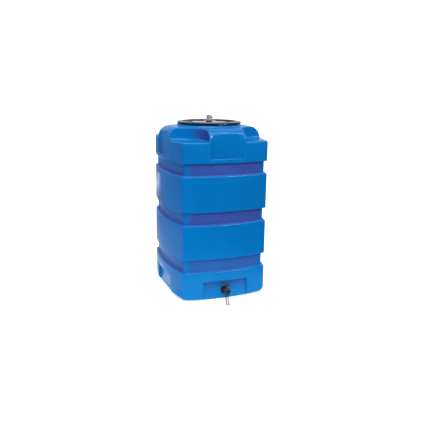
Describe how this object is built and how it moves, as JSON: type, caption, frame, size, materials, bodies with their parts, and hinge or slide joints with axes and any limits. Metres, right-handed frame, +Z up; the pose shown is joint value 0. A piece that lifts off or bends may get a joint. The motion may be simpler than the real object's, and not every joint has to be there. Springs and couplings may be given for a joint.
{
  "type": "livestock water storage tank",
  "caption": "Upright moulded water tank with bowed walls, belts and grooves, screw-down manhole lid with vent, and a capped ball valve low on its front.",
  "frame": {"origin": "centre of the bounding box's bottom face, on the floor; the tank's own vertical axis is 55 mm behind it, because the outlet and its chain stand out in front", "axes": "+Z up; -Y towards the outlet; +X to the right of someone facing the outlet"},
  "size_m": [0.7, 0.875, 1.2549],
  "materials": {
    "tank_blue": "satin moulded polyethylene",
    "fitting_black": "satin black polypropylene",
    "vent_grey": "matt grey plastic",
    "seal_rubber": "matt",
    "ball_brass": "turned",
    "seat_white": "smooth",
    "chain_steel": "bright drawn wire"
  },
  "bodies": {
    "tank": {"tank_body": "tank_blue", "lid_gasket": "seal_rubber", "outlet_tail": "fitting_black", "inner_gasket": "seal_rubber", "outer_gasket": "seal_rubber", "outlet_nut": "fitting_black", "valve_body": "fitting_black", "seat_inner": "seat_white", "seat_outer": "seat_white", "stem_seal": "seal_rubber", "outlet_nipple": "fitting_black", "chain_ring": "chain_steel", "retaining_chain": "chain_steel"},
    "lid": {"lid_disc": "fitting_black", "vent_stem": "fitting_black", "vent_seal": "seal_rubber", "vent_nut": "fitting_black", "vent_screen": "chain_steel"},
    "ring": {"lid_ring": "fitting_black"},
    "vent_hood": {"vent_cap": "vent_grey", "vent_thumb_screw": "fitting_black"},
    "valve_core": {"ball": "ball_brass", "valve_stem": "ball_brass", "valve_handle": "fitting_black", "handle_screw": "chain_steel"},
    "cap_swivel": {"swivel_eye": "chain_steel"},
    "cap": {"dust_cap": "fitting_black", "cap_seal": "seal_rubber"}
  },
  "joints": [
    {"name": "lid_lift", "type": "slide", "parent": "tank", "child": "lid", "axis": [0, 0, 1], "range_m": [0, 0.3]},
    {"name": "ring_turn", "type": "hinge", "parent": "lid", "child": "ring", "pos_m": [0, 0.05516, 1.2124], "axis": [0, 0, 1], "range_deg": [0, 45]},
    {"name": "vent_cap_lift", "type": "slide", "parent": "lid", "child": "vent_hood", "axis": [0, 0, 1], "range_m": [0, 0.05]},
    {"name": "valve_turn", "type": "hinge", "parent": "tank", "child": "valve_core", "pos_m": [0, -0.32504, 0.068], "axis": [0, 0, 1], "range_deg": [0, 90]},
    {"name": "cap_slide", "type": "slide", "parent": "tank", "child": "cap_swivel", "axis": [0, -1, 0], "range_m": [0, 0.012], "deforming": ["retaining_chain"]},
    {"name": "cap_turn", "type": "hinge", "parent": "cap_swivel", "child": "cap", "pos_m": [0, -0.34454, 0.068], "axis": [0, -1, 0], "range_deg": [0, 1080]}
  ],
  "couplings": [
    {"joint": "cap_slide", "follows": "cap_turn", "m_per_rad": 0.00063662}
  ]
}
